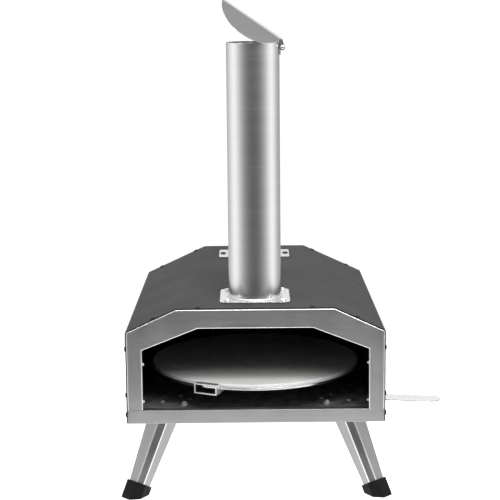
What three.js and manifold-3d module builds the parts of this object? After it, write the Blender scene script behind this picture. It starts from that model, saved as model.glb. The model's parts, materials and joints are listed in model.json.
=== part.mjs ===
// Wood fired pizza oven with a turning stone, a flue with a hinged cap and four folding legs.
// Millimetres. X runs across the front, Y from the front to the back, Z up from the oven's floor.
import * as THREE from 'three';
import { mergeVertices } from 'three/addons/utils/BufferGeometryUtils.js';
import Module from 'manifold-3d';

const wasm = await Module();
wasm.setup();

// Gaps and sheet thicknesses
const GAP = 0.3;
const SHEET = 1.2;
const FRAME_SHEET = 1.5;

// Body outline: flat sides, slanted shoulders that get wider towards the back, flat top
const HALF_WIDTH = 190;
const DEPTH = 519;
const TOP_Z = 172.2;
const SHOULDER_FRONT_Z = 138.1;
const SHOULDER_REAR_Z = 125.3;
const TOP_HALF_FRONT = 116.3;
const SHELL_OUTSET = 1.8;
const SHELL_FRONT_Y = 1.5;
const LINER_INSET = 11;
const LINER_FRONT_Y = 17;

// Mouth and sill
const MOUTH_HALF = 167.5;
const MOUTH_SHOULDER_Z = 111.4;
const MOUTH_TOP_Z = 143.9;
const MOUTH_TOP_HALF = 84.8;
const SILL_TOP_Z = 20.2;
const FRAME_RETURN = 16;
const LIP_DEPTH = 12;

// Floor
const FLOOR_BOTTOM_Z = 0.8;
const FLOOR_TOP_Z = 2;
const PAN_FRONT_Y = 14.4;
const PAN_REAR_Y = 518.6;
const PAN_FLANGE_REAR_Y = 503;
const PAN_FLANGE_Z = 24;

// Flue, its plate and its cap
const FLUE_Y = 82;
const FLUE_RADIUS = 39.5;
const FLUE_WALL = 1.2;
const FLUE_BOTTOM_Z = 152;
const FLUE_TOP_Z = 556.7;
const PLATE_SIZE_X = 105;
const PLATE_SIZE_Y = 98;
const PLATE_SHEET = 1.6;
const SHELL_TOP_Z = TOP_Z + SHELL_OUTSET;
const PLATE_TOP_Z = SHELL_TOP_Z + GAP + PLATE_SHEET;
const PLATE_CORNER = 9;
const PLATE_SCREW_X = 42.5;
const PLATE_SCREW_Y = 39;
const TOP_SCREW_SHANK = 2;
const TOP_SCREW_LENGTH = 10;
const CAP_RADIUS = 53;
const CAP_CENTRE = 60.2;
const CAP_TILT = THREE.MathUtils.degToRad(34.5);
const CAP_SLOPE = THREE.MathUtils.degToRad(30.5);
const CAP_BEND_RADIUS = 34;
const CAP_SIDE = 44;
const CAP_RISE = 9.4;
const CAP_PIVOT = new THREE.Vector3(43.6, FLUE_Y, 549);
const CAP_EAR_Y = 8.2;
const CAP_EAR_RADIUS = 4.6;
const CAP_PIN_RADIUS = 2;
const CAP_PIN_HOLE = CAP_PIN_RADIUS + GAP;

// Turntable
const STONE_Y = 181;
const STONE_RADIUS = 163;
const STONE_TOP_Z = 53.5;
const STONE_THICKNESS = 7;
const TRAY_Z = STONE_TOP_Z - STONE_THICKNESS - GAP - SHEET;
const TRAY_RADIUS = STONE_RADIUS + GAP + SHEET + 0.8;
const TRAY_RIM = 3.6;
const SHAFT_RADIUS = 6;
const SPIGOT_RADIUS = 4;
const HUB_RADIUS = 30;
const BUSH_RADIUS = 9;
const LEVER_LENGTH = 295;
const LEVER_WIDTH = 31;
const LEVER_TOP_Z = -4;
const LEVER_THICKNESS = 2;
const LEVER_ANGLE = THREE.MathUtils.degToRad(-8.9);
const LOOP_ANGLE = THREE.MathUtils.degToRad(-25.3);
const LOOP_WIDTH = 37;
const LOOP_HEIGHT = 15.5;
const LOOP_DEPTH = 11;
const LOOP_BOTTOM_Z = 38.2;
const LOOP_WALL = 1.8;
const LOOP_TONGUE = 30;

// Hopper and fuel tray
const HOPPER_Y = 434.5;
const HOPPER_HALF_X = 42;
const HOPPER_HALF_Y = 28;
const HOPPER_BOTTOM_Z = 100;
const HOPPER_TOP_Z = 300;
const HOPPER_PLATE_X = 121.5;
const HOPPER_PLATE_Y = 69.5;
const HOPPER_PLATE_CORNER = 4;
const HOPPER_SCREW_X = 54;
const HINGE_PIN_RADIUS = 1.6;
const HINGE_PIN_HALF = 34;
const LID_BARREL_HALF = 29;
const LID_BARREL_RADIUS = 3.4;
const LID_OVERHANG = 2.6;
const LID_HINGE = new THREE.Vector3(0, HOPPER_Y + HOPPER_HALF_Y + 6, HOPPER_TOP_Z + 2.5);
const TRAY_HALF_X = 74;
const DRAWER_FRONT_Y = 400;
const DRAWER_BOTTOM_Z = 7;
const DRAWER_TOP_Z = 60;
const DRAWER_FACE_HEIGHT = DRAWER_TOP_Z + 12;
const DRAWER_FACE_Z = DRAWER_FACE_HEIGHT / 2 + 3;

// Legs
const GROUND_Z = -135.3;
const BRACKET_X = 119;
const BRACKET_Y = 114;
const BRACKET_SIZE = 66;
const BRACKET_SHEET = 1.6;
const BRACKET_TOP_Z = FLOOR_BOTTOM_Z - GAP;
const PIVOT_X = 143.2;
const PIVOT_Y = 115;
const PIVOT_Z = -20.5;
const PIVOT_DEPTH = 17;
const PIVOT_RADIUS = 3;
const LEG_SPLAY = new THREE.Vector3(0.34, 0.34, -0.877).normalize();
const LEG_TURN = THREE.MathUtils.degToRad(10);
const LEG_SHEET = 1.5;
const LEG_TOP = { web: 6.7, spread: 23.8, depth: 21.4 };
const LEG_FOOT = { web: 5.5, spread: 14.6, depth: 12.8 };
const LEG_ABOVE_PIVOT = 7;
const BOOT_HEIGHT = 19;
const BOOT_WALL = 4.4;
const BOOT_CLEARANCE = 1.7;
const BOOT_SOLE = 3;
const LEG_LENGTH = (PIVOT_Z - GROUND_Z) / -LEG_SPLAY.z;
const CAP_NUT = new THREE.Vector2(109.7, 84.8);
const NUT_SHANK = 2.5;

const ROUND_STEPS = 32;
const LARGE_ROUND_STEPS = 72;
const SMALL_ROUND_STEPS = 16;

// Places of the screws on the two top plates
const PLATE_SCREWS = [[-1, -1], [1, -1], [1, 1], [-1, 1]].map(([sx, sy]) =>
  [sx * PLATE_SCREW_X, FLUE_Y + sy * PLATE_SCREW_Y]);
const HOPPER_SCREWS = [[-HOPPER_SCREW_X, HOPPER_Y], [HOPPER_SCREW_X, HOPPER_Y]];

// The four corners of the body, each with its side in X and in Y
const corners = [
  { name: 'front_left', sx: -1, sy: -1 },
  { name: 'front_right', sx: 1, sy: -1 },
  { name: 'rear_left', sx: -1, sy: 1 },
  { name: 'rear_right', sx: 1, sy: 1 },
];

const looks = {
  shellPaint: { color: 0x4b4c4e, roughness: 0.42, metalness: 0.3 },
  innerPaint: { color: 0x141414, roughness: 0.8, metalness: 0.1 },
  brushedSteel: { color: 0x9b9b9a, roughness: 0.38, metalness: 1 },
  flueSteel: { color: 0xb4b5b6, roughness: 0.32, metalness: 1 },
  brightSteel: { color: 0xd4d5d6, roughness: 0.2, metalness: 1 },
  stone: { color: 0xd9d4c8, roughness: 0.85, metalness: 0 },
  blackScrew: { color: 0x1b1b1c, roughness: 0.5, metalness: 0.6 },
  rubber: { color: 0x111112, roughness: 0.75, metalness: 0 },
  knob: { color: 0x18181a, roughness: 0.5, metalness: 0 },
};

// Geometry to manifold and back

function toSolid(geometry) {
  const bare = geometry.clone();
  bare.deleteAttribute('normal');
  bare.deleteAttribute('uv');
  const merged = mergeVertices(bare, 1e-4);
  const mesh = new wasm.Mesh({
    numProp: 3,
    vertProperties: new Float32Array(merged.attributes.position.array),
    triVerts: new Uint32Array(merged.index.array),
  });
  return new wasm.Manifold(mesh);
}

function toGeometry(solid) {
  const mesh = solid.getMesh();
  const geometry = new THREE.BufferGeometry();
  const coordinates = new Float32Array(mesh.vertProperties);
  geometry.setAttribute('position', new THREE.BufferAttribute(coordinates, 3));
  geometry.setIndex(new THREE.BufferAttribute(new Uint32Array(mesh.triVerts), 1));
  return geometry;
}

function joined(first, ...others) {
  return toGeometry(others.reduce((solid, other) => solid.add(toSolid(other)), toSolid(first)));
}

function cut(base, ...tools) {
  return toGeometry(tools.reduce((solid, tool) => solid.subtract(toSolid(tool)), toSolid(base)));
}

function overlap(first, second) {
  return toGeometry(toSolid(first).intersect(toSolid(second)));
}

// Plain shapes

function block(low, high) {
  const size = high.map((value, i) => value - low[i]);
  const geometry = new THREE.BoxGeometry(...size);
  return geometry.translate(...low.map((value, i) => value + size[i] / 2));
}

function polygon(points) {
  return new THREE.Shape(points.map(([x, y]) => new THREE.Vector2(x, y)));
}

function roundedRectangle(width, height, radius) {
  const [x, y] = [width / 2, height / 2];
  const shape = new THREE.Shape();
  shape.moveTo(radius - x, -y);
  shape.absarc(x - radius, radius - y, radius, -Math.PI / 2, 0);
  shape.absarc(x - radius, y - radius, radius, 0, Math.PI / 2);
  shape.absarc(radius - x, y - radius, radius, Math.PI / 2, Math.PI);
  shape.absarc(radius - x, radius - y, radius, Math.PI, 1.5 * Math.PI);
  return shape;
}

function extruded(shape, depth, curveSegments = 6) {
  return new THREE.ExtrudeGeometry(shape, { depth, bevelEnabled: false, steps: 1, curveSegments });
}

// A shape drawn in X and Z, extruded along Y from one depth to another
function acrossDepth(shape, front, rear) {
  return extruded(shape, rear - front).rotateX(Math.PI / 2).translate(0, rear, 0);
}

// A flat plate drawn in X and Y, from one height to another
function plate(shape, bottom, top) {
  return extruded(shape, top - bottom).translate(0, 0, bottom);
}

// A closed profile of [radius, z] points turned round the Z axis, listed anticlockwise
function turned(profile, steps = ROUND_STEPS) {
  const points = profile.map(([r, z]) => new THREE.Vector2(r, z));
  if (profile.every(([r]) => r > 0)) {
    points.push(points[0].clone());
  }
  return new THREE.LatheGeometry(points, steps).rotateX(Math.PI / 2);
}

function rod(radius, bottom, top, steps = ROUND_STEPS) {
  return turned([[0, bottom], [radius, bottom], [radius, top], [0, top]], steps);
}

function ring(inner, outer, bottom, top, steps = ROUND_STEPS) {
  return turned([[inner, bottom], [outer, bottom], [outer, top], [inner, top]], steps);
}

// Body outline

function shoulderCutter(side, inset) {
  const front = new THREE.Vector3(side * HALF_WIDTH, 0, SHOULDER_FRONT_Z);
  const ridge = new THREE.Vector3(side * TOP_HALF_FRONT, 0, TOP_Z);
  const rear = new THREE.Vector3(side * HALF_WIDTH, DEPTH, SHOULDER_REAR_Z);
  const normal = ridge.sub(front).cross(rear.sub(front)).normalize();
  if (normal.z < 0) {
    normal.negate();
  }
  const size = 3 * DEPTH;
  const turn = new THREE.Quaternion().setFromUnitVectors(new THREE.Vector3(0, 0, 1), normal);
  const cutter = new THREE.BoxGeometry(size, size, size).translate(0, 0, size / 2 - inset);
  return cutter.applyQuaternion(turn).translate(front.x, front.y, front.z);
}

// The body's outline moved inwards by inset, as a solid between two depths
function bodyBlock(inset, front, rear, bottom) {
  const half = HALF_WIDTH - inset;
  const whole = block([-half, front, bottom], [half, rear, TOP_Z - inset]);
  return cut(whole, shoulderCutter(-1, inset), shoulderCutter(1, inset));
}

function bodySleeve(inset, front, rear, bottom) {
  const inside = bodyBlock(inset + SHEET, front - 1, rear + 1, bottom - 1);
  return cut(bodyBlock(inset, front, rear, bottom), inside);
}

// The mouth's outline moved outwards by outset
function mouthShape(outset) {
  const slope = Math.atan2(MOUTH_TOP_Z - MOUTH_SHOULDER_Z, MOUTH_HALF - MOUTH_TOP_HALF);
  const half = MOUTH_HALF + outset;
  const shoulder = MOUTH_SHOULDER_Z + outset * (1 / Math.cos(slope) - Math.tan(slope));
  const topHalf = MOUTH_TOP_HALF + (outset * (1 / Math.cos(slope) - 1)) / Math.tan(slope);
  const top = MOUTH_TOP_Z + outset;
  return polygon([
    [-half, 0], [half, 0], [half, shoulder], [topHalf, top], [-topHalf, top], [-half, shoulder],
  ]);
}

function hopperHole(spare) {
  const [x, y] = [HOPPER_HALF_X + spare, HOPPER_HALF_Y + spare];
  return block([-x, HOPPER_Y - y, HOPPER_BOTTOM_Z], [x, HOPPER_Y + y, HOPPER_TOP_Z]);
}

function flueHole(spare) {
  return rod(FLUE_RADIUS + spare, FLUE_BOTTOM_Z - 20, FLUE_TOP_Z).translate(0, FLUE_Y, 0);
}

function topScrewHoles() {
  return [...PLATE_SCREWS, ...HOPPER_SCREWS].map(([x, y]) =>
    rod(TOP_SCREW_SHANK + GAP, TOP_Z - 12, PLATE_TOP_Z + 5, SMALL_ROUND_STEPS).translate(x, y, 0));
}

function outerShell() {
  const sleeve = cut(
    bodyBlock(-SHELL_OUTSET, SHELL_FRONT_Y, DEPTH, 0),
    bodyBlock(SHEET - SHELL_OUTSET, 0, DEPTH + 1, -1),
  );
  return cut(sleeve, flueHole(1.2), hopperHole(1), ...topScrewHoles());
}

function innerLiner() {
  const sleeve = bodySleeve(LINER_INSET, LINER_FRONT_Y, DEPTH - 3, FLOOR_TOP_Z + GAP);
  return cut(sleeve, flueHole(0.6), hopperHole(0.6));
}

function frontFrame() {
  const faceAndReturn = cut(
    bodyBlock(0, 0, FRAME_RETURN, SILL_TOP_Z + GAP),
    bodyBlock(FRAME_SHEET, FRAME_SHEET, FRAME_RETURN + 1, 0),
  );
  const lip = overlap(
    acrossDepth(mouthShape(FRAME_SHEET), 0, LIP_DEPTH),
    block([-HALF_WIDTH, 0, SILL_TOP_Z + GAP], [HALF_WIDTH, LIP_DEPTH, TOP_Z]),
  );
  return cut(joined(faceAndReturn, lip), acrossDepth(mouthShape(0), -1, FRAME_RETURN));
}

function frontSill() {
  const bar = block([-HALF_WIDTH, 0, 0], [HALF_WIDTH, PAN_FRONT_Y - GAP, SILL_TOP_Z]);
  const hollow = block(
    [-HALF_WIDTH - 1, FRAME_SHEET, FRAME_SHEET],
    [HALF_WIDTH + 1, PAN_FRONT_Y, SILL_TOP_Z - FRAME_SHEET],
  );
  return cut(bar, hollow);
}

function rearPanel() {
  const inset = GAP - SHELL_OUTSET + SHEET;
  const [front, bottom] = [PAN_FLANGE_REAR_Y + 1, FLOOR_TOP_Z + GAP];
  const pan = cut(
    bodyBlock(inset, front, DEPTH, bottom),
    bodyBlock(inset + SHEET, front - 1, DEPTH - SHEET, bottom - 1),
  );
  const doorHalf = TRAY_HALF_X + 3;
  const doorway = block([-doorHalf, front, 0], [doorHalf, DEPTH + 1, DRAWER_TOP_Z + 4]);
  return cut(pan, doorway);
}

function floorPan() {
  const half = HALF_WIDTH + 0.2;
  const flanges = block([-half, PAN_FRONT_Y, FLOOR_BOTTOM_Z], [half, PAN_FLANGE_REAR_Y, PAN_FLANGE_Z]);
  const inside = block(
    [SHEET - half, PAN_FRONT_Y + SHEET, FLOOR_TOP_Z],
    [half - SHEET, PAN_FLANGE_REAR_Y + 1, PAN_FLANGE_Z + 1],
  );
  const sillSide = block(
    [-half - 1, PAN_FRONT_Y - 1, SILL_TOP_Z - 3],
    [half + 1, FRAME_RETURN + 1, PAN_FLANGE_Z + 1],
  );
  const sheet = block([-half, PAN_FRONT_Y, FLOOR_BOTTOM_Z], [half, PAN_REAR_Y, FLOOR_TOP_Z]);
  const bushHole = rod(BUSH_RADIUS + GAP, -1, 10).translate(0, STONE_Y, 0);
  const nutHoles = corners.map((corner) =>
    rod(NUT_SHANK + GAP, -1, 10, SMALL_ROUND_STEPS).translate(...nutPlace(corner), 0));
  return cut(joined(cut(flanges, inside, sillSide), sheet), bushHole, ...nutHoles);
}

// Flue

function flueFlange() {
  const outline = roundedRectangle(PLATE_SIZE_X, PLATE_SIZE_Y, PLATE_CORNER);
  const sheet = plate(outline, SHELL_TOP_Z + GAP, PLATE_TOP_Z);
  return cut(sheet.translate(0, FLUE_Y, 0), flueHole(GAP), ...topScrewHoles());
}

function flueCollar() {
  const inner = FLUE_RADIUS + GAP;
  const bottom = PLATE_TOP_Z + GAP;
  const profile = [
    [inner, bottom], [inner + 1.8, bottom], [inner + 1.8, bottom + 0.5],
    [inner + 0.8, bottom + 1.6], [inner, bottom + 1.6],
  ];
  return turned(profile, LARGE_ROUND_STEPS).translate(0, FLUE_Y, 0);
}

function fluePipe() {
  const wall = ring(FLUE_RADIUS - FLUE_WALL, FLUE_RADIUS, FLUE_BOTTOM_Z, FLUE_TOP_Z, LARGE_ROUND_STEPS);
  return wall.translate(0, FLUE_Y, 0);
}

function screw(headRadius, headHeight, shankRadius, shankLength, steps = SMALL_ROUND_STEPS) {
  const shoulder = headHeight * 0.55;
  const profile = [
    [0, -shankLength], [shankRadius, -shankLength], [shankRadius, 0], [headRadius, 0],
    [headRadius, shoulder], [headRadius * 0.62, headHeight], [0, headHeight],
  ];
  return turned(profile, steps);
}

// The cap's cross-section: a strip with a rounded ridge and two sloping halves
function capSection() {
  const inner = CAP_BEND_RADIUS;
  const outer = inner + SHEET;
  const start = Math.PI / 2 + CAP_SLOPE;
  const end = Math.PI / 2 - CAP_SLOPE;
  const foot = (radius, side) => [
    side * (radius * Math.sin(CAP_SLOPE) + CAP_SIDE * Math.cos(CAP_SLOPE)),
    radius * Math.cos(CAP_SLOPE) - CAP_SIDE * Math.sin(CAP_SLOPE),
  ];
  const shape = new THREE.Shape();
  shape.moveTo(...foot(outer, -1));
  shape.absarc(0, 0, outer, start, end, true);
  shape.lineTo(...foot(outer, 1));
  shape.lineTo(...foot(inner, 1));
  shape.absarc(0, 0, inner, end, start, false);
  shape.lineTo(...foot(inner, -1));
  return shape;
}

function capPinHole() {
  return rod(CAP_PIN_HOLE, -20, 20, SMALL_ROUND_STEPS).rotateX(Math.PI / 2);
}

// The cap lies level here, with its pivot at the origin and its tip towards -X
function flueCap() {
  const length = 2 * CAP_RADIUS + 4;
  const strip = extruded(capSection(), length, 8)
    .rotateX(Math.PI / 2)
    .rotateZ(Math.PI / 2)
    .translate(-CAP_CENTRE - length / 2, 0, CAP_RISE - CAP_BEND_RADIUS);
  const disc = rod(CAP_RADIUS, -60, 60, LARGE_ROUND_STEPS).translate(-CAP_CENTRE, 0, 0);
  const dome = overlap(strip, disc);
  const ears = [-1, 1].map((side) => capEar(side));
  return cut(joined(dome, ...ears), capPinHole());
}

function capEar(side) {
  const shape = new THREE.Shape();
  shape.moveTo(-CAP_EAR_RADIUS, 0);
  shape.absarc(0, 0, CAP_EAR_RADIUS, Math.PI, 2 * Math.PI);
  shape.lineTo(-5.5, CAP_RISE - 0.4);
  shape.lineTo(-13, CAP_RISE - 0.4);
  const front = side > 0 ? CAP_EAR_Y : -CAP_EAR_Y - SHEET;
  return acrossDepth(shape, front, front + SHEET);
}

function capBracket() {
  const leaf = block([FLUE_RADIUS + GAP, -7, -11], [FLUE_RADIUS + GAP + SHEET, 7, 6]);
  const ears = [-1, 1].map((side) => {
    const front = side > 0 ? 7 - SHEET : -7;
    const arm = block([FLUE_RADIUS + GAP, front, -4], [CAP_PIVOT.x, front + SHEET, 4]);
    const eye = rod(4, -SHEET / 2, SHEET / 2, SMALL_ROUND_STEPS).rotateX(Math.PI / 2);
    return joined(arm, eye.translate(CAP_PIVOT.x, front + SHEET / 2, 0));
  });
  return cut(joined(leaf, ...ears), capPinHole().translate(CAP_PIVOT.x, 0, 0));
}

// A rivet along the Y axis with a low head on each end
function rivet(radius, halfGrip, headRadius, headHeight) {
  const profile = [
    [0, -halfGrip - headHeight], [headRadius * 0.6, -halfGrip - headHeight],
    [headRadius, -halfGrip - headHeight * 0.4], [headRadius, -halfGrip], [radius, -halfGrip],
    [radius, halfGrip], [headRadius, halfGrip], [headRadius, halfGrip + headHeight * 0.4],
    [headRadius * 0.6, halfGrip + headHeight], [0, halfGrip + headHeight],
  ];
  return turned(profile, SMALL_ROUND_STEPS).rotateX(Math.PI / 2);
}

// Turntable, built round its own axis

function pizzaStone() {
  const [bottom, top, edge] = [STONE_TOP_Z - STONE_THICKNESS, STONE_TOP_Z, 1];
  const profile = [
    [0, bottom], [STONE_RADIUS - edge, bottom], [STONE_RADIUS, bottom + edge],
    [STONE_RADIUS, top - edge], [STONE_RADIUS - edge, top], [0, top],
  ];
  return turned(profile, LARGE_ROUND_STEPS);
}

function turntableTray() {
  const inner = TRAY_RADIUS - SHEET;
  const profile = [
    [0, TRAY_Z], [TRAY_RADIUS, TRAY_Z], [TRAY_RADIUS, TRAY_Z + TRAY_RIM],
    [inner, TRAY_Z + TRAY_RIM], [inner, TRAY_Z + SHEET], [0, TRAY_Z + SHEET],
  ];
  return turned(profile, LARGE_ROUND_STEPS);
}

// A flat box loop on the tray's edge, welded under the tray by a tongue and two gussets
function trayHandleLoop() {
  const [half, top] = [LOOP_WIDTH / 2, LOOP_BOTTOM_Z + LOOP_HEIGHT];
  const front = -TRAY_RADIUS - LOOP_DEPTH;
  const outer = block([-half, front, LOOP_BOTTOM_Z], [half, front + LOOP_DEPTH - GAP, top]);
  const hollow = block(
    [LOOP_WALL - half, front - 1, LOOP_BOTTOM_Z + LOOP_WALL],
    [half - LOOP_WALL, front + LOOP_DEPTH + 1, top - LOOP_WALL],
  );
  const tongueTop = TRAY_Z - GAP;
  const [root, end] = [front + LOOP_DEPTH - 1, front + LOOP_DEPTH + LOOP_TONGUE];
  const tongue = block([-half, root, tongueTop - LOOP_WALL], [half, end, tongueTop]);
  const gusset = polygon([
    [root, LOOP_BOTTOM_Z], [end, tongueTop - LOOP_WALL], [end, tongueTop], [root, tongueTop],
  ]);
  const side = extruded(gusset, LOOP_WALL).rotateX(Math.PI / 2).rotateZ(Math.PI / 2);
  const sides = [-half, half - LOOP_WALL].map((x) => side.clone().translate(x, 0, 0));
  return joined(cut(outer, hollow), tongue, ...sides);
}

function turntableShaft() {
  const hubTop = TRAY_Z - GAP;
  const collarBottom = FLOOR_TOP_Z + 2.6;
  const spigotTop = LEVER_TOP_Z + GAP;
  return turned([
    [0, -15], [SPIGOT_RADIUS, -15], [SPIGOT_RADIUS, spigotTop], [SHAFT_RADIUS, spigotTop],
    [SHAFT_RADIUS, collarBottom], [12, collarBottom], [12, collarBottom + 3],
    [SHAFT_RADIUS, collarBottom + 3], [SHAFT_RADIUS, hubTop - 3],
    [HUB_RADIUS, hubTop - 3], [HUB_RADIUS, hubTop], [0, hubTop],
  ]);
}

function shaftBush() {
  const inner = SHAFT_RADIUS + GAP;
  const seat = FLOOR_TOP_Z + GAP;
  return turned([
    [inner, -2], [BUSH_RADIUS, -2], [BUSH_RADIUS, seat],
    [15, seat], [15, seat + 2], [inner, seat + 2],
  ]);
}

function rotationLever() {
  const half = LEVER_WIDTH / 2;
  const shape = new THREE.Shape();
  shape.moveTo(0, -half);
  shape.absarc(LEVER_LENGTH - half, 0, half, -Math.PI / 2, Math.PI / 2);
  shape.absarc(0, 0, half, Math.PI / 2, 1.5 * Math.PI);
  const strip = extruded(shape, LEVER_THICKNESS, 16);
  const bore = rod(SPIGOT_RADIUS + GAP, -20, 20);
  return cut(strip.translate(0, 0, LEVER_TOP_Z - LEVER_THICKNESS), bore);
}

function leverNut() {
  const bottom = LEVER_TOP_Z - LEVER_THICKNESS - GAP - 6;
  return cut(rod(8, bottom, bottom + 6, 6), rod(SPIGOT_RADIUS + GAP, bottom - 1, bottom + 7));
}

// Hopper and fuel tray

function hopper() {
  const walls = cut(hopperHole(0), block(
    [SHEET - HOPPER_HALF_X, HOPPER_Y + SHEET - HOPPER_HALF_Y, HOPPER_BOTTOM_Z - 1],
    [HOPPER_HALF_X - SHEET, HOPPER_Y + HOPPER_HALF_Y - SHEET, HOPPER_TOP_Z + 1],
  ));
  const outline = roundedRectangle(HOPPER_PLATE_X, HOPPER_PLATE_Y, HOPPER_PLATE_CORNER);
  const sheet = plate(outline, SHELL_TOP_Z + GAP, PLATE_TOP_Z).translate(0, HOPPER_Y, 0);
  const flange = cut(sheet, hopperHole(-SHEET / 2), ...topScrewHoles());
  const ears = [-32, 30.8].map((x) => hopperEar(x));
  return joined(walls, flange, ...ears);
}

// An ear behind the hopper's rear wall that holds the lid's hinge pin
function hopperEar(x) {
  const wall = HOPPER_Y + HOPPER_HALF_Y;
  const arm = block(
    [x, wall - 0.5, LID_HINGE.z - 12],
    [x + SHEET, LID_HINGE.y + LID_BARREL_RADIUS, HOPPER_TOP_Z - GAP],
  );
  return cut(joined(arm, alongHinge(LID_BARREL_RADIUS, x, x + SHEET)), hingeBore());
}

// A round bar on the lid's hinge axis, from one x to another
function alongHinge(radius, left, right) {
  const bar = rod(radius, left, right, SMALL_ROUND_STEPS).rotateY(Math.PI / 2);
  return bar.translate(0, LID_HINGE.y, LID_HINGE.z);
}

function hingeBore() {
  return alongHinge(HINGE_PIN_RADIUS + GAP, -50, 50);
}

function hopperLid() {
  const halfX = HOPPER_HALF_X + LID_OVERHANG;
  const front = HOPPER_Y - HOPPER_HALF_Y - LID_OVERHANG;
  const rear = HOPPER_Y + HOPPER_HALF_Y + 1;
  const bottom = HOPPER_TOP_Z + GAP;
  const cover = cut(
    block([-halfX, front, bottom - 9], [halfX, rear, bottom + SHEET]),
    block([SHEET - halfX, front + SHEET, bottom - 10], [halfX - SHEET, rear + 1, bottom]),
  );
  const barrel = alongHinge(LID_BARREL_RADIUS, -LID_BARREL_HALF, LID_BARREL_HALF);
  const arm = block(
    [-LID_BARREL_HALF, rear - 1, bottom],
    [LID_BARREL_HALF, LID_HINGE.y, bottom + SHEET],
  );
  return cut(joined(cover, barrel, arm), hingeBore());
}

function lidHingePin() {
  const half = HINGE_PIN_HALF;
  const pin = turned([
    [0, -half], [HINGE_PIN_RADIUS, -half], [HINGE_PIN_RADIUS, half - 1],
    [3, half - 1], [3, half + 1], [0, half + 1],
  ], SMALL_ROUND_STEPS);
  return pin.rotateY(Math.PI / 2).translate(0, LID_HINGE.y, LID_HINGE.z);
}

function lidKnob() {
  const profile = [[0, 0], [6, 0], [5, 6], [7, 9], [11, 12], [12, 16], [10, 20], [5, 22], [0, 22]];
  return turned(profile, 24).translate(0, HOPPER_Y - 6, HOPPER_TOP_Z + 2 * GAP + SHEET);
}

function fuelTray() {
  const box = cut(
    block([-TRAY_HALF_X, DRAWER_FRONT_Y, DRAWER_BOTTOM_Z], [TRAY_HALF_X, DEPTH + 2, DRAWER_TOP_Z]),
    block(
      [SHEET - TRAY_HALF_X, DRAWER_FRONT_Y + SHEET, DRAWER_BOTTOM_Z + SHEET],
      [TRAY_HALF_X - SHEET, DEPTH + GAP, DRAWER_TOP_Z + 1],
    ),
  );
  const face = roundedRectangle(2 * TRAY_HALF_X + 22, DRAWER_FACE_HEIGHT, 6);
  const front = acrossDepth(face, DEPTH + GAP, DEPTH + 2).translate(0, 0, DRAWER_FACE_Z);
  return joined(box, front);
}

// A slotted plate on two turned-down sides that keeps the fire off the tray's bottom
function fuelGrate() {
  const [half, front, rear] = [TRAY_HALF_X - 3, DRAWER_FRONT_Y + 3, DEPTH - 4];
  const [bottom, top] = [DRAWER_BOTTOM_Z + SHEET + GAP, 24];
  const bridge = cut(
    block([-half, front, bottom], [half, rear, top]),
    block([1.5 - half, front - 1, bottom - 1], [half - 1.5, rear + 1, top - 1.5]),
  );
  const slots = [];
  for (let x = -54; x <= 54; x += 12) {
    slots.push(block([x - 3, front + 12, top - 3], [x + 3, rear - 12, top + 1]));
  }
  return cut(bridge, ...slots);
}

function fuelTrayHandle() {
  const [half, reach, bend, radius] = [38, 28, 9, 3.5];
  const start = DEPTH + 2 + GAP;
  const at = (x, y) => new THREE.Vector3(x, y, 0);
  const [inner, outer] = [reach - bend, half - bend];
  const path = new THREE.CurvePath();
  path.add(new THREE.LineCurve3(at(-half, 0), at(-half, inner)));
  path.add(new THREE.QuadraticBezierCurve3(at(-half, inner), at(-half, reach), at(-outer, reach)));
  path.add(new THREE.LineCurve3(at(-outer, reach), at(outer, reach)));
  path.add(new THREE.QuadraticBezierCurve3(at(outer, reach), at(half, reach), at(half, inner)));
  path.add(new THREE.LineCurve3(at(half, inner), at(half, 0)));
  const section = new THREE.Shape().absarc(0, 0, radius, 0, 2 * Math.PI);
  const sweep = { steps: 24, curveSegments: 4, extrudePath: path };
  return new THREE.ExtrudeGeometry(section, sweep).translate(0, start, DRAWER_FACE_Z);
}

function drawerRail(side) {
  const [inner, outer] = [TRAY_HALF_X - 12, TRAY_HALF_X + 2.4];
  const [rear, top] = [DEPTH - 5, 30];
  const front = DRAWER_FRONT_Y;
  const shelfTop = DRAWER_BOTTOM_Z - GAP;
  const angle = cut(
    block([inner, front, FLOOR_TOP_Z + GAP], [outer, rear, top]),
    block([inner - 1, front - 1, shelfTop], [outer - SHEET, rear + 1, top + 1]),
    block([inner - 1, front - 1, 0], [outer - SHEET, rear + 1, shelfTop - SHEET]),
  );
  return side > 0 ? angle : angle.rotateZ(Math.PI).translate(0, front + rear, 0);
}

// Legs: each corner has its own axes, X along the pivot bolt, Y towards the open back, Z up the leg

function atCorner({ sx, sy }, x, y) {
  return [sx * x, DEPTH / 2 + sy * (DEPTH / 2 - y)];
}

function nutPlace(corner) {
  return atCorner(corner, CAP_NUT.x, CAP_NUT.y);
}

function legFrame(corner) {
  const down = new THREE.Vector3(corner.sx * LEG_SPLAY.x, corner.sy * LEG_SPLAY.y, LEG_SPLAY.z);
  const web = new THREE.Vector3(0, corner.sy * -LEG_SPLAY.z, LEG_SPLAY.y).normalize();
  web.applyAxisAngle(down, -corner.sx * corner.sy * LEG_TURN);
  const along = web.clone().cross(down).normalize();
  const basis = new THREE.Matrix4().makeBasis(along, web.negate(), down.negate());
  return basis.setPosition(...atCorner(corner, PIVOT_X, PIVOT_Y), PIVOT_Z);
}

// The folded sheet's section: a narrow web and two flanges bent back, as eight points
function channelPoints({ web, spread, depth }) {
  const bend = Math.atan2(depth, spread - web);
  const thick = LEG_SHEET / Math.sin(bend);
  const inset = LEG_SHEET * Math.tan(bend / 2);
  const half = [[web, 0], [spread, depth], [spread - thick, depth], [web - inset, LEG_SHEET]];
  const mirrored = half.map(([x, y]) => [-x, y]).reverse();
  return [...half, ...mirrored].map(([x, y]) => [x, y - PIVOT_DEPTH]);
}

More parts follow.
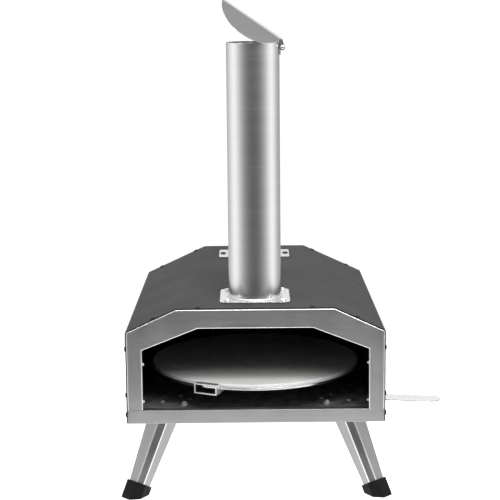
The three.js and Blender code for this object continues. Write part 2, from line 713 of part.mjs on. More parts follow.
// A straight bar between two outlines with the same number of points
function loft(bottomPoints, topPoints, bottom, top) {
  const bar = extruded(polygon(topPoints), 1);
  const position = bar.attributes.position;
  for (let i = 0; i < position.count; i += 1) {
    const [x, y] = [position.getX(i), position.getY(i)];
    if (position.getZ(i) < 0.5) {
      const at = topPoints.findIndex((p) => Math.hypot(p[0] - x, p[1] - y) < 1e-3);
      position.setXYZ(i, bottomPoints[at][0], bottomPoints[at][1], bottom);
    } else {
      position.setZ(i, top);
    }
  }
  return bar;
}

// Everything below a level plane at a height above the ground, in the leg's own axes
function belowHeight(corner, height) {
  const slab = block([-400, -100, GROUND_Z - 200], [400, DEPTH + 100, GROUND_Z + height]);
  return slab.applyMatrix4(legFrame(corner).invert());
}

function boltHole() {
  return rod(PIVOT_RADIUS + GAP, -60, 60, SMALL_ROUND_STEPS).rotateY(Math.PI / 2);
}

function leg(corner) {
  const bar = loft(channelPoints(LEG_FOOT), channelPoints(LEG_TOP), -LEG_LENGTH - 8, LEG_ABOVE_PIVOT);
  return cut(bar, boltHole(), belowHeight(corner, BOOT_SOLE + GAP));
}

// A closed trapezium round the channel's foot section
function bootOutline(wall) {
  const back = LEG_FOOT.depth + wall;
  const wide = LEG_FOOT.spread + wall * 1.15;
  const points = [
    [LEG_FOOT.web + wall * 0.55, -wall], [wide, LEG_FOOT.depth - 2], [wide, back],
    [-wide, back], [-wide, LEG_FOOT.depth - 2], [-LEG_FOOT.web - wall * 0.55, -wall],
  ];
  return polygon(points.map(([x, y]) => [x, y - PIVOT_DEPTH]));
}

function boot(corner) {
  const base = -LEG_LENGTH - 20;
  const top = BOOT_HEIGHT - LEG_LENGTH;
  const outer = extruded(bootOutline(BOOT_WALL), top - base).translate(0, 0, base);
  const inner = extruded(bootOutline(BOOT_CLEARANCE), top - base + 1).translate(0, 0, base);
  const cavity = cut(inner, belowHeight(corner, BOOT_SOLE));
  return cut(outer, cavity, belowHeight(corner, 0));
}

function pivotBolt() {
  const grip = LEG_TOP.spread + 0.6;
  const head = 4;
  return turned([
    [0, -grip - head], [4.6, -grip - head], [4.6, -grip], [PIVOT_RADIUS, -grip],
    [PIVOT_RADIUS, grip], [4.6, grip], [4.6, grip + head], [0, grip + head],
  ], SMALL_ROUND_STEPS).rotateY(Math.PI / 2);
}

// A sheet under the floor with a knuckle that stands between the leg's flanges
function legBracket(corner) {
  const frame = legFrame(corner);
  const arm = block([-10, -6, 0], [10, 6, 40]);
  const knuckle = rod(6, -10, 10, SMALL_ROUND_STEPS).rotateY(Math.PI / 2);
  const ceiling = block([-300, -100, BRACKET_TOP_Z - 0.6], [300, DEPTH + 100, 100]);
  const hole = boltHole().applyMatrix4(frame);
  const tongue = cut(joined(arm, knuckle).applyMatrix4(frame), ceiling, hole);
  const outline = roundedRectangle(BRACKET_SIZE, BRACKET_SIZE, 12);
  const sheet = plate(outline, BRACKET_TOP_Z - BRACKET_SHEET, BRACKET_TOP_Z)
    .rotateZ(Math.PI / 4)
    .translate(...atCorner(corner, BRACKET_X, BRACKET_Y), 0);
  const nutHole = rod(NUT_SHANK + GAP, -20, 20, SMALL_ROUND_STEPS).translate(...nutPlace(corner), 0);
  return cut(joined(tongue, sheet), nutHole);
}

function bracketNut() {
  const [seat, tall] = [FLOOR_TOP_Z + GAP, 8.5];
  const under = BRACKET_TOP_Z - BRACKET_SHEET - GAP;
  return turned([
    [0, under - 1.2], [5, under - 1.2], [5, under], [NUT_SHANK, under], [NUT_SHANK, seat],
    [5.5, seat], [5.5, seat + 4.5], [4, seat + 6.6], [2, seat + tall], [0, seat + tall],
  ], SMALL_ROUND_STEPS);
}

// Assembly

const oven = new THREE.Group();

function add(name, geometry, look, group = oven) {
  const mesh = new THREE.Mesh(geometry, new THREE.MeshStandardMaterial(looks[look]));
  mesh.name = name;
  group.add(mesh);
  return mesh;
}

add('outer_shell', outerShell(), 'shellPaint');
add('inner_liner', innerLiner(), 'innerPaint');
add('front_frame', frontFrame(), 'brushedSteel');
add('front_sill', frontSill(), 'brushedSteel');
add('floor_pan', floorPan(), 'innerPaint');
add('rear_panel', rearPanel(), 'shellPaint');

add('flue_flange', flueFlange(), 'brightSteel');
add('flue_collar', flueCollar(), 'brightSteel');
add('flue_pipe', fluePipe(), 'flueSteel');
PLATE_SCREWS.forEach(([x, y], i) => {
  const plateScrew = screw(4.2, 2.6, TOP_SCREW_SHANK, TOP_SCREW_LENGTH);
  const mesh = add(`flue_screw_${i + 1}`, plateScrew, 'brightSteel');
  mesh.position.set(x, y, PLATE_TOP_Z + GAP);
});

const capMount = new THREE.Group();
capMount.position.copy(CAP_PIVOT);
capMount.rotation.y = CAP_TILT;
oven.add(capMount);
add('flue_cap', flueCap(), 'flueSteel', capMount);
add('cap_bracket', capBracket(), 'flueSteel').position.set(0, FLUE_Y, CAP_PIVOT.z);
const capPin = rivet(CAP_PIN_RADIUS, CAP_EAR_Y + SHEET + GAP, 3.2, 1.8);
add('cap_pin', capPin, 'brightSteel').position.copy(CAP_PIVOT);

const turntable = new THREE.Group();
turntable.position.y = STONE_Y;
oven.add(turntable);
add('pizza_stone', pizzaStone(), 'stone', turntable);
add('turntable_tray', turntableTray(), 'brightSteel', turntable);
add('tray_handle_loop', trayHandleLoop(), 'brightSteel', turntable).rotation.z = LOOP_ANGLE;
add('turntable_shaft', turntableShaft(), 'brushedSteel', turntable);
add('shaft_bush', shaftBush(), 'brushedSteel', turntable);
add('rotation_lever', rotationLever(), 'brightSteel', turntable).rotation.z = LEVER_ANGLE;
add('lever_nut', leverNut(), 'brushedSteel', turntable);

add('hopper', hopper(), 'brightSteel');
add('hopper_lid', hopperLid(), 'shellPaint');
add('lid_hinge_pin', lidHingePin(), 'brushedSteel');
add('lid_knob', lidKnob(), 'knob');
HOPPER_SCREWS.forEach(([x, y], i) => {
  const plateScrew = screw(5, 1.8, TOP_SCREW_SHANK, TOP_SCREW_LENGTH);
  const mesh = add(`hopper_screw_${i + 1}`, plateScrew, 'blackScrew');
  mesh.position.set(x, y, PLATE_TOP_Z + GAP);
});
add('fuel_tray', fuelTray(), 'brushedSteel');
add('fuel_grate', fuelGrate(), 'brushedSteel');
add('fuel_tray_handle', fuelTrayHandle(), 'brightSteel');
add('tray_rail_left', drawerRail(-1), 'brushedSteel');
add('tray_rail_right', drawerRail(1), 'brushedSteel');

for (const corner of corners) {
  const frame = legFrame(corner);
  const mount = new THREE.Group();
  mount.applyMatrix4(frame);
  oven.add(mount);
  add(`leg_${corner.name}`, leg(corner), 'brushedSteel', mount);
  add(`foot_${corner.name}`, boot(corner), 'rubber', mount);
  add(`pivot_bolt_${corner.name}`, pivotBolt(), 'brightSteel', mount);
  add(`bracket_${corner.name}`, legBracket(corner), 'brushedSteel');
  const nut = add(`bracket_nut_${corner.name}`, bracketNut(), 'brightSteel');
  nut.position.set(...nutPlace(corner), 0);
}

// The origin goes to the middle of the footprint, on the ground
oven.updateMatrixWorld(true);
const bounds = new THREE.Box3().setFromObject(oven, true);
const middle = bounds.getCenter(new THREE.Vector3());
oven.position.set(-middle.x, -middle.y, -bounds.min.z);
oven.updateMatrixWorld(true);

export default oven;
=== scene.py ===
import json
import math

import bmesh
import bpy
import numpy as np
from mathutils import Matrix, Vector


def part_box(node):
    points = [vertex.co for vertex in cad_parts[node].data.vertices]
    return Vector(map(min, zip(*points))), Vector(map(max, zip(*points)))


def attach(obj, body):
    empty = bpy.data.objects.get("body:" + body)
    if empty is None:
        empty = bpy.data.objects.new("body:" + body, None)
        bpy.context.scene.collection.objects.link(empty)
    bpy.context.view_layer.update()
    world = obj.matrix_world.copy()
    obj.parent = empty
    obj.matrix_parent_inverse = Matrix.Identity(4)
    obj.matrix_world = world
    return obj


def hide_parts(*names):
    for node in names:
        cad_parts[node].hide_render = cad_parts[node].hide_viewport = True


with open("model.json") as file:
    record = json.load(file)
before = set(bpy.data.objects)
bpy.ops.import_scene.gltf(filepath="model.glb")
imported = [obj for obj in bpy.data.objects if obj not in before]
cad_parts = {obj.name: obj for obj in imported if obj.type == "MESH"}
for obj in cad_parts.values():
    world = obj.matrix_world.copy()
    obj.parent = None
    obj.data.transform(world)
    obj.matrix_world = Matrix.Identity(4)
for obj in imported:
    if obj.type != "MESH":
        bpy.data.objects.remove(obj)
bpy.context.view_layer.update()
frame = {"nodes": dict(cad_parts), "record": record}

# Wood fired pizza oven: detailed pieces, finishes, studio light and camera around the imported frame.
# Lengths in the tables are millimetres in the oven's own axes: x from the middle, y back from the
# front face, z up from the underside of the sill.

MM = 0.001
frame_low, frame_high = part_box("front_frame")
sill_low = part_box("front_sill")[0]
ORIGIN = Vector(((frame_low.x + frame_high.x) / 2, frame_low.y, sill_low.z))

BODY_DEPTH = 519
JAMB_INNER_X = 167
JAMB_TOP_Z = 118
SILL_TOP_Z = 20.3

BODY_OF = {
    node: body
    for body, members in frame["record"]["behaviour"]["bodies"].items()
    for node in members
}
CORNERS = {
    "front_left": (-1, -1),
    "front_right": (1, -1),
    "rear_left": (-1, 1),
    "rear_right": (1, 1),
}


def at(x, y, z):
    """A point given in the oven's own millimetres, in the scene."""
    return ORIGIN + Vector((x, y, z)) * MM


# ---------------------------------------------------------------- materials


class Look:
    """A procedural material. Streaks and grain come from noise in object space."""

    def __init__(self, name, colour, metallic=0.0, specular=0.5):
        self.material = bpy.data.materials.new(name)
        self.material.use_nodes = True
        self.tree = self.material.node_tree
        self.shader = self.tree.nodes["Principled BSDF"]
        self.shader.inputs["Metallic"].default_value = metallic
        self.shader.inputs["Specular IOR Level"].default_value = specular
        self.colour = colour
        self.normal = None
        self.place = self.node("ShaderNodeTexCoord").outputs["Object"]

    def node(self, kind, **settings):
        made = self.tree.nodes.new(kind)
        for key, value in settings.items():
            setattr(made, key, value)
        return made

    def feed(self, socket, value):
        if isinstance(value, bpy.types.NodeSocket):
            self.tree.links.new(value, socket)
        else:
            socket.default_value = value

    def calc(self, operation, first, second=0.5, third=None, clamp=False):
        made = self.node("ShaderNodeMath", operation=operation, use_clamp=clamp)
        self.feed(made.inputs[0], first)
        self.feed(made.inputs[1], second)
        if third is not None:
            self.feed(made.inputs[2], third)
        return made.outputs[0]

    def noise(self, scale, detail=3.0, roughness=0.55, distortion=0.0):
        """Noise with its own scale along X, Y and Z, in cycles per metre."""
        mapping = self.node("ShaderNodeMapping")
        mapping.inputs["Scale"].default_value = scale
        self.feed(mapping.inputs["Vector"], self.place)
        noise = self.node("ShaderNodeTexNoise")
        noise.inputs["Scale"].default_value = 1.0
        noise.inputs["Detail"].default_value = detail
        noise.inputs["Roughness"].default_value = roughness
        noise.inputs["Distortion"].default_value = distortion
        self.feed(noise.inputs["Vector"], mapping.outputs["Vector"])
        return noise.outputs["Fac"]

    def spread(self, value, low, high, start=0.3, end=0.7):
        made = self.node("ShaderNodeMapRange", clamp=True)
        self.feed(made.inputs["Value"], value)
        for key, number in (("From Min", start), ("From Max", end), ("To Min", low), ("To Max", high)):
            made.inputs[key].default_value = number
        return made.outputs["Result"]

    def tint(self, factor, low, high):
        """The base colour from low times the look's colour to high times it."""
        ramp = self.node("ShaderNodeMix", data_type="RGBA")
        self.feed(ramp.inputs["Factor"], factor)
        ramp.inputs["A"].default_value = [c * low for c in self.colour] + [1]
        ramp.inputs["B"].default_value = [min(1, c * high) for c in self.colour] + [1]
        self.feed(self.shader.inputs["Base Color"], ramp.outputs["Result"])

    def gloss(self, factor, low, high):
        self.feed(self.shader.inputs["Roughness"], self.spread(factor, low, high))

    def bump(self, height, strength, distance):
        made = self.node("ShaderNodeBump")
        made.inputs["Strength"].default_value = strength
        made.inputs["Distance"].default_value = distance
        self.feed(made.inputs["Height"], height)
        if self.normal is not None:
            self.feed(made.inputs["Normal"], self.normal)
        self.normal = made.outputs["Normal"]
        self.feed(self.shader.inputs["Normal"], self.normal)


def brushed(name, colour, roughness, fine, broad, contrast=0.1, swing=0.07, depth=0.12):
    """Brushed steel: fine streaks, broader bands of the same grain and faint handling marks."""
    look = Look(name, colour, metallic=1.0)
    streaks = look.noise(fine, detail=4.0, roughness=0.7)
    bands = look.noise(broad, detail=2.0)
    marks = look.noise((9, 9, 9), detail=4.0, distortion=0.6)
    mixed = look.calc("MULTIPLY_ADD", streaks, 0.6, look.calc("MULTIPLY", bands, 0.4))
    look.tint(look.spread(mixed, 0, 1, 0.32, 0.68), 1 - contrast, 1 + contrast)
    rough = look.calc("MULTIPLY_ADD", mixed, 0.7, look.calc("MULTIPLY", marks, 0.3))
    look.gloss(rough, roughness - swing, roughness + swing)
    look.bump(streaks, depth, 0.00006)
    return look


def steel_frame():
    """The front's sheet: brushed across on the sill and lintel, upright on the jambs."""
    colour, roughness = (0.335, 0.335, 0.333), 0.42
    look = Look("frame_steel", colour, metallic=1.0)
    across = look.noise((14, 60, 1500), detail=4.0, roughness=0.7)
    upright = look.noise((1500, 60, 14), detail=4.0, roughness=0.7)
    split = look.node("ShaderNodeSeparateXYZ")
    look.feed(split.inputs[0], look.place)
    aside = look.calc("ABSOLUTE", look.calc("SUBTRACT", split.outputs["X"], ORIGIN.x))
    on_jamb = look.calc("GREATER_THAN", aside, JAMB_INNER_X * MM)
    below = look.calc("LESS_THAN", split.outputs["Z"], at(0, 0, JAMB_TOP_Z).z)
    above = look.calc("GREATER_THAN", split.outputs["Z"], at(0, 0, SILL_TOP_Z).z)
    jamb = look.calc("MULTIPLY", look.calc("MULTIPLY", on_jamb, below), above)
    blend = look.node("ShaderNodeMix", data_type="FLOAT")
    look.feed(blend.inputs["Factor"], jamb)
    look.feed(blend.inputs["A"], across)
    look.feed(blend.inputs["B"], upright)
    streaks = blend.outputs["Result"]
    marks = look.noise((16, 16, 16), detail=5.0, distortion=0.8)
    mixed = look.calc("MULTIPLY_ADD", streaks, 0.65, look.calc("MULTIPLY", marks, 0.35))
    look.tint(look.spread(mixed, 0, 1, 0.34, 0.66), 0.86, 1.14)
    look.gloss(mixed, roughness - 0.07, roughness + 0.09)
    look.bump(streaks, 0.16, 0.00006)
    return look


def powder_paint():
    look = Look("shell_paint", (0.03, 0.031, 0.033), specular=0.28)
    peel = look.noise((900, 900, 900), detail=2.0)
    cloud = look.noise((7, 7, 7), detail=3.0)
    look.tint(look.spread(cloud, 0, 1), 0.9, 1.12)
    look.gloss(cloud, 0.5, 0.62)
    look.bump(peel, 0.25, 0.00012)
    return look


def soot_black(name, colour):
    look = Look(name, colour, specular=0.25)
    dust = look.noise((60, 60, 60), detail=6.0)
    grain = look.noise((700, 700, 700), detail=2.0)
    look.tint(look.spread(dust, 0, 1), 0.6, 1.8)
    look.gloss(dust, 0.6, 0.85)
    look.bump(grain, 0.3, 0.0002)
    return look


def cordierite():
    look = Look("stone", (0.78, 0.775, 0.76), specular=0.25)
    patches = look.noise((22, 22, 22), detail=6.0, distortion=0.4)
    specks = look.noise((520, 520, 520), detail=3.0)
    pores = look.noise((1500, 1500, 1500), detail=2.0)
    mixed = look.calc("MULTIPLY_ADD", patches, 0.55, look.calc("MULTIPLY", specks, 0.45))
    look.tint(look.spread(mixed, 0, 1, 0.35, 0.65), 0.9, 1.06)
    look.gloss(specks, 0.82, 0.95)
    look.bump(specks, 0.35, 0.0002)
    look.bump(pores, 0.25, 0.00012)
    return look


def moulded(name, colour, roughness, grain, depth, specular=0.4):
    look = Look(name, colour, specular=specular)
    cloud = look.noise((40, 40, 40), detail=4.0)
    texture = look.noise(grain, detail=3.0)
    look.tint(look.spread(cloud, 0, 1), 0.75, 1.35)
    look.gloss(cloud, roughness - 0.07, roughness + 0.08)
    look.bump(texture, depth, 0.00015)
    return look


LOOKS = {
    "frame": steel_frame(),
    # edge: a brighter copy of the steel, put on folds as a painted highlight
    "edge": brushed(
        "fold_highlight_steel", (0.9, 0.9, 0.9), 0.38, fine=(400, 400, 400), broad=(60, 60, 60),
        contrast=0.05, swing=0.05, depth=0.05,
    ),
    "flue": brushed(
        "flue_steel", (0.74, 0.74, 0.745), 0.25, fine=(6, 6, 1300), broad=(3, 3, 120),
        contrast=0.035, swing=0.04, depth=0.06,
    ),
    "bright": brushed(
        "bright_steel", (0.86, 0.86, 0.86), 0.22, fine=(900, 16, 300), broad=(90, 8, 40),
        contrast=0.05, swing=0.06, depth=0.08,
    ),
    "leg": brushed(
        "leg_steel", (0.35, 0.35, 0.346), 0.36, fine=(700, 700, 12), broad=(60, 60, 4),
        contrast=0.09, swing=0.07, depth=0.12,
    ),
    "inner": brushed(
        "inner_steel", (0.42, 0.42, 0.41), 0.45, fine=(900, 12, 300), broad=(80, 6, 40),
        contrast=0.12, swing=0.08, depth=0.12,
    ),
    "fastener": brushed(
        "fastener_bright", (0.8, 0.8, 0.8), 0.24, fine=(300, 300, 900), broad=(90, 90, 90),
        contrast=0.08, swing=0.06, depth=0.08,
    ),
    "black_fastener": moulded("fastener_black", (0.02, 0.02, 0.021), 0.42, (900, 900, 900), 0.12, 0.5),
    "paint": powder_paint(),
    # chamber_black is also put on the shell's front edge and inside the handle loop as painted shade.
    "black": soot_black("chamber_black", (0.012, 0.012, 0.012)),
    # The floor pan takes a lighter copy of the chamber black: painted light standing in for the light
    # that falls on the front of the pan.
    "floor": soot_black("painted_light_floor", (0.17, 0.17, 0.17)),
    "satin": brushed(
        "satin_steel", (0.86, 0.86, 0.86), 0.5, fine=(400, 400, 400), broad=(60, 60, 60),
        contrast=0.05, swing=0.05, depth=0.06,
    ),
    "plated": moulded("plated_fastener", (0.55, 0.55, 0.54), 0.4, (700, 700, 700), 0.1, 0.6),
    "sooted": soot_black("sooted_steel", (0.03, 0.029, 0.028)),
    "stone": cordierite(),
    "rubber": moulded("foot_rubber", (0.0025, 0.0025, 0.0025), 0.6, (1100, 1100, 1100), 0.3, 0.18),
    "plastic": moulded("knob_plastic", (0.02, 0.02, 0.021), 0.45, (1300, 1300, 1300), 0.15, 0.5),
}

# ---------------------------------------------------------------- mesh helpers


def piece(name, bm, body, look, nodes=(), smooth_angle=38, edge_look=None):
    """Turns a bmesh into a shaded object that rides on a body and stands for CAD nodes."""
    bmesh.ops.recalc_face_normals(bm, faces=bm.faces)
    mesh = bpy.data.meshes.new(name)
    bm.to_mesh(mesh)
    bm.free()
    mesh.shade_smooth()
    mesh.set_sharp_from_angle(angle=math.radians(smooth_angle))
    mesh.materials.append(LOOKS[look].material)
    if edge_look:
        mesh.materials.append(LOOKS[edge_look].material)
    made = bpy.data.objects.new(name, mesh)
    bpy.context.scene.collection.objects.link(made)
    weigh = made.modifiers.new("weighted_normals", "WEIGHTED_NORMAL")
    weigh.keep_sharp = True
    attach(made, body)
    if nodes:
        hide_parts(*nodes)
    return made


RIM_WIDTH = 2.1
FOLD_ANGLE = 14
RIM_ANGLE = 50


def is_rim(face):
    """True for the narrow face along the cut edge of a sheet."""
    perimeter = sum(edge.calc_length() for edge in face.edges)
    return 2 * face.calc_area() / perimeter < RIM_WIDTH * MM


def bevel(bm, edges, width, segments):
    """Rounds the edges and returns the new faces."""
    if not edges:
        return []
    made = bmesh.ops.bevel(
        bm,
        geom=edges,
        offset=width * MM,
        offset_type="OFFSET",
        segments=segments,
        profile=0.5,
        affect="EDGES",
        clamp_overlap=True,
        material=-1,
    )
    return made["faces"]


def clean_copy(node):
    """The CAD node's mesh with its flat faces merged."""
    bm = bmesh.new()
    bm.from_mesh(frame["nodes"][node].data)
    for face in bm.faces:
        face.material_index = 0
    bmesh.ops.remove_doubles(bm, verts=bm.verts, dist=2e-6)
    bmesh.ops.dissolve_limit(
        bm, angle_limit=math.radians(0.6), verts=bm.verts, edges=bm.edges, delimit={"NORMAL"}
    )
    return bm


def sharp_edges(bm, low):
    return [
        edge
        for edge in bm.edges
        if len(edge.link_faces) == 2 and edge.calc_face_angle(0) > math.radians(low)
    ]


def sheet(node, look, fold=1.2, rim=0.35, polished=None, outer=None):
    """A folded sheet with rounded folds and broken cut edges.

    polished(point) picks the folds that take a brighter steel as a painted highlight, and outer names a
    second look and where it goes.
    """
    bm = clean_copy(node)
    folds = [
        edge
        for edge in sharp_edges(bm, FOLD_ANGLE)
        if not any(is_rim(face) for face in edge.link_faces)
    ]
    # Folds that polished picks take the brighter edge steel: a painted highlight.
    for face in bevel(bm, folds, fold, 3):
        if polished and polished(face.calc_center_median()):
            face.material_index = 1
    rims = [
        edge
        for edge in sharp_edges(bm, RIM_ANGLE)
        if any(is_rim(face) for face in edge.link_faces)
    ]
    bevel(bm, rims, rim, 2)
    edge_look = "edge" if polished else None
    if outer:
        edge_look, on_outside = outer
        for face in bm.faces:
            face.material_index = int(on_outside(face.calc_center_median()))
    return piece(node + "_sheet", bm, BODY_OF[node], look, [node], edge_look=edge_look)


def fillet(points, radius, steps=4, closed=False):
    """A polyline with every corner rounded."""
    rounded = []
    last = len(points) - 1
    for i, point in enumerate(points):
        here = Vector((*point, 0))
        if not closed and i in (0, last):
            rounded.append((here.x, here.y))
            continue
        before = Vector((*points[i - 1], 0)) - here
        after = Vector((*points[(i + 1) % len(points)], 0)) - here
        start = here + before.normalized() * min(radius, before.length * 0.45)
        end = here + after.normalized() * min(radius, after.length * 0.45)
        for k in range(steps + 1):
            t = k / steps
            spot = start * (1 - t) ** 2 + here * 2 * t * (1 - t) + end * t * t
            rounded.append((spot.x, spot.y))
    return rounded


def turn(bm, profile, steps, matrix, ripple=None):
    """Adds a closed solid of revolution. The profile is [radius, height] in millimetres."""
    rings = []
    for radius, height in profile:
        if radius < 1e-6:
            rings.append([bm.verts.new(matrix @ Vector((0, 0, height)))])
            continue
        ring = []
        for k in range(steps):
            angle = 2 * math.pi * k / steps
            spot = Vector((radius * math.cos(angle), radius * math.sin(angle), height))
            if ripple:
                spot = ripple(spot)
            ring.append(bm.verts.new(matrix @ spot))
        rings.append(ring)
    pairs = list(zip(rings, rings[1:]))
    if len(rings[0]) > 1 and len(rings[-1]) > 1:
        pairs.append((rings[-1], rings[0]))
    for first, second in pairs:
        for k in range(steps):
            j = (k + 1) % steps
            corners = [
                first[k % len(first)], first[j % len(first)],
                second[j % len(second)], second[k % len(second)],
            ]
            unique = list(dict.fromkeys(corners))
            if len(unique) > 2:
                bm.faces.new(unique)


def upright(x, y, z):
    return Matrix.Translation(at(x, y, z)) @ Matrix.Scale(MM, 4)


def facing(centre, axis):
    """A matrix that puts a millimetre part at a scene point with its Z along axis."""
    turned = Vector(axis).to_track_quat("Z", "Y").to_matrix().to_4x4()
    return Matrix.Translation(centre) @ turned @ Matrix.Scale(MM, 4)


def cross_recess(radius, top):
    """Presses a cross into the middle of a screw head."""

    def press(spot):
        reach = math.hypot(spot.x, spot.y)
        if spot.z > top * 0.6 and reach < radius * 0.56 and min(abs(spot.x), abs(spot.y)) < radius * 0.14:
            return Vector((spot.x, spot.y, spot.z - top * 0.42))
        return spot

    return press


def pan_head(bm, matrix, radius, height, steps=32):
    """A domed screw head with a cross recess and a thin washer line under it."""
    rings = [0.16, 0.3, 0.34, 0.5, 0.55, 0.7, 0.82, 0.91, 0.97, 1.0]
    profile = [(0, height * 0.58)]
    for share in rings:
        profile.append((radius * share, height * math.sqrt(max(0.0, 1 - (share * 0.93) ** 2.6))))
    profile += [(radius, height * 0.12), (radius * 0.94, 0), (0, 0)]
    turn(bm, profile, steps, matrix, cross_recess(radius, height))


def hexagon(bm, matrix, across, height):
    """A hexagonal nut body with chamfered corners."""
    big = across / math.sqrt(3)
    chamfer = across * 0.055
    profile = [
        (0, 0), (big - chamfer, 0), (big, chamfer), (big, height - chamfer),
        (big - chamfer, height), (0, height),
    ]
    turn(bm, profile, 6, matrix)


def screws(name, look, body, spots, radius, height, nodes=(), shank=None):
    bm = bmesh.new()
    for centre, axis in spots:
        matrix = facing(centre, axis)
        pan_head(bm, matrix, radius, height)
        if shank:
            turn(bm, [(0, -shank[1]), (shank[0], -shank[1]), (shank[0], -0.05), (0, -0.05)], 20, matrix)
    return piece(name, bm, body, look, nodes, smooth_angle=45)


def solid(node, name, look, profile, steps, x, y, smooth_angle=38):
    """A turned piece with a vertical axis that stands for one CAD node."""
    bm = bmesh.new()
    turn(bm, profile, steps, upright(x, y, 0))
    return piece(name, bm, BODY_OF[node], look, [node], smooth_angle)


def axis_of(node):
    """Middle, direction and half length in millimetres of a long round node."""
    points = np.array([v.co for v in frame["nodes"][node].data.vertices], float)
    spread = points - points.mean(0)
    direction = np.linalg.svd(spread, full_matrices=False)[2][0]
    along = points @ direction
    middle = points.mean(0) + direction * ((along.max() + along.min()) / 2 - along.mean())
    return Vector(middle), Vector(direction), (along.max() - along.min()) / 2 / MM


def centre_of(node):
    low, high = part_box(node)
    return (low + high) / 2


# ---------------------------------------------------------------- camera

CAMERA_AT = (-4.2, -2125.8, 649.0)
CAMERA_RIGHT = Vector((0.999955669, -0.000569532, -0.00939868))
CAMERA_DOWN = Vector((-0.00934804, -0.17969451, -0.98367804))
LENS = 107.15
SENSOR = 36.0

camera = bpy.data.objects.new("camera", bpy.data.cameras.new("camera"))
bpy.context.scene.collection.objects.link(camera)
camera.data.lens = LENS
camera.data.sensor_width = SENSOR
camera.data.clip_start = 0.05
camera.data.clip_end = 50
backward = CAMERA_RIGHT.cross(-CAMERA_DOWN)
axes = Matrix((CAMERA_RIGHT, -CAMERA_DOWN, backward)).transposed()
camera.matrix_world = Matrix.Translation(at(*CAMERA_AT)) @ axes.to_4x4()
bpy.context.scene.camera = camera

# ---------------------------------------------------------------- body sheets

FRONT_Y = ORIGIN.y


def near_front(point):
    return point.y < FRONT_Y + 1.5 * MM


# Painted shadow: the shell's front cut edge takes the chamber black to stand for the shaded gap above the
# frame's top fold.
def painted_gap_shadow(point):
    return point.y < FRONT_Y + 1.9 * MM


def behind_body(point):
    return point.y > frame_low.y + (BODY_DEPTH - 0.5) * MM


def anywhere(point):
    return True


# The shell's front cut edge is painted black as the shadow in the gap above the frame's top fold.
sheet("outer_shell", "paint", fold=2.6, rim=0.4, outer=("black", painted_gap_shadow))
sheet("rear_panel", "paint", fold=1.4)
# The front folds of the frame take the brighter edge steel as a painted highlight.
sheet("front_frame", "frame", fold=1.3, polished=near_front)
sheet("front_sill", "frame", fold=0.9)
sheet("inner_liner", "black", fold=1.4)
# The floor pan's lighter black is painted light.
sheet("floor_pan", "floor", fold=1.2)
for side in ("left", "right"):
    sheet("tray_rail_" + side, "inner", fold=0.8)

# ---------------------------------------------------------------- flue

flue = centre_of("flue_pipe")
flue_low, flue_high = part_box("flue_pipe")
FLUE_X, FLUE_Y = (flue.x - ORIGIN.x) / MM, (flue.y - ORIGIN.y) / MM
FLUE_BOTTOM, FLUE_TOP = (flue_low.z - ORIGIN.z) / MM, (flue_high.z - ORIGIN.z) / MM
FLUE_RADIUS = (flue_high.x - flue_low.x) / 2 / MM
FLUE_WALL = 1.2

pipe = fillet(
    [
        (FLUE_RADIUS - FLUE_WALL, FLUE_BOTTOM), (FLUE_RADIUS, FLUE_BOTTOM),
        (FLUE_RADIUS, FLUE_TOP), (FLUE_RADIUS - FLUE_WALL, FLUE_TOP),
    ],
    0.5, closed=True,
)
solid("flue_pipe", "flue_tube", "flue", pipe, 192, FLUE_X, FLUE_Y)

collar_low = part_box("flue_collar")[0]
COLLAR_BOTTOM = (collar_low.z - ORIGIN.z) / MM
COLLAR_TOP = COLLAR_BOTTOM + 1.6
COLLAR_INSIDE, COLLAR_SHOULDER, COLLAR_OUTSIDE = FLUE_RADIUS + 0.3, FLUE_RADIUS + 1.1, FLUE_RADIUS + 2.1
collar = fillet(
    [
        (COLLAR_INSIDE, COLLAR_BOTTOM), (COLLAR_OUTSIDE, COLLAR_BOTTOM),
        (COLLAR_OUTSIDE, COLLAR_BOTTOM + 0.6), (COLLAR_SHOULDER, COLLAR_TOP),
        (COLLAR_INSIDE, COLLAR_TOP),
    ],
    0.35, closed=True,
)
solid("flue_collar", "flue_collar_ring", "satin", collar, 160, FLUE_X, FLUE_Y)
sheet("flue_flange", "bright", rim=0.5)
sheet("cap_bracket", "flue", fold=0.5, rim=0.3)
sheet("flue_cap", "flue", fold=0.5, rim=0.4)

SEAM_RADIUS = 0.7
seam = bmesh.new()
turn(
    seam,
    fillet(
        [
            (0, COLLAR_TOP), (SEAM_RADIUS, COLLAR_TOP),
            (SEAM_RADIUS, FLUE_TOP - 0.6), (0, FLUE_TOP - 0.6),
        ],
        0.3,
    ),
    12,
    upright(FLUE_X, FLUE_Y + FLUE_RADIUS - 0.2, 0),
)
piece("flue_seam_weld", seam, "oven_body", "flue")

# ---------------------------------------------------------------- fasteners

UP = (0, 0, 1)
SCREW_SHANK = (2, 9)
PLATE_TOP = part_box("flue_flange")[1].z + 0.2 * MM
for node_start, name_start, look, count, radius, height in (
    ("flue_screw_", "flue_plate_screw_", "fastener", 4, 4.2, 2.7),
    ("hopper_screw_", "hopper_plate_screw_", "black_fastener", 2, 5, 1.8),
):
    for index in range(1, count + 1):
        node = f"{node_start}{index}"
        middle = centre_of(node)
        spot = (Vector((middle.x, middle.y, PLATE_TOP)), UP)
        screws(f"{name_start}{index}", look, "oven_body", [spot], radius, height, [node], SCREW_SHANK)

